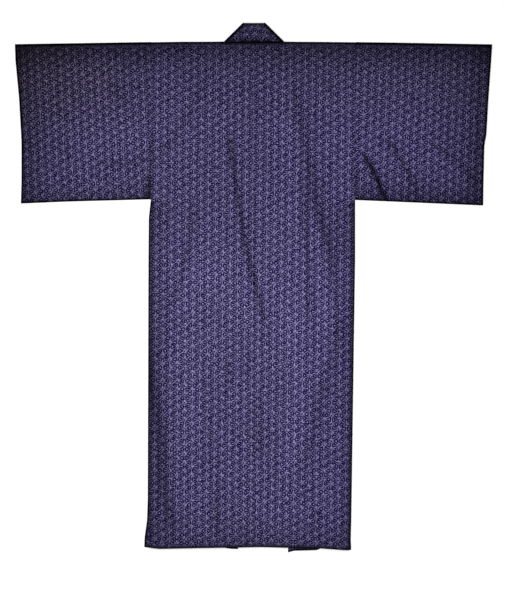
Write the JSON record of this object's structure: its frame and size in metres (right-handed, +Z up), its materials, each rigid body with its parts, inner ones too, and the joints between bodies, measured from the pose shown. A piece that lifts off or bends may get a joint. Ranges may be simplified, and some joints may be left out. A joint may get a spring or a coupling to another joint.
{
  "type": "cotton yukata robe",
  "caption": "Unlined cotton robe with wide square sleeves, straight body, open fronts and a folded collar band, laid flat on its front with the sleeves out.",
  "frame": {"origin": "middle of the bounding box's footprint, on the surface that the robe lies on", "axes": "+Y from the hem to the collar, +X towards the wearer's right sleeve, +Z up from the surface, with the robe's back uppermost"},
  "size_m": [1.356, 1.5057, 0.0084],
  "materials": {
    "body_cloth": "matt plain-weave cotton, indigo with a small pale hemp-leaf pattern",
    "sleeve_cloth": "the same printed cotton, a little darker towards the sleeve ends",
    "collar_cloth": "the same printed cotton, folded lengthwise and pressed flat"
  },
  "bodies": {
    "root": {"body_left": "body_cloth", "body_right": "body_cloth", "okumi_left": "body_cloth", "okumi_right": "body_cloth", "sleeve_left": "sleeve_cloth", "sleeve_right": "sleeve_cloth", "collar": "collar_cloth"}
  },
  "joints": []
}
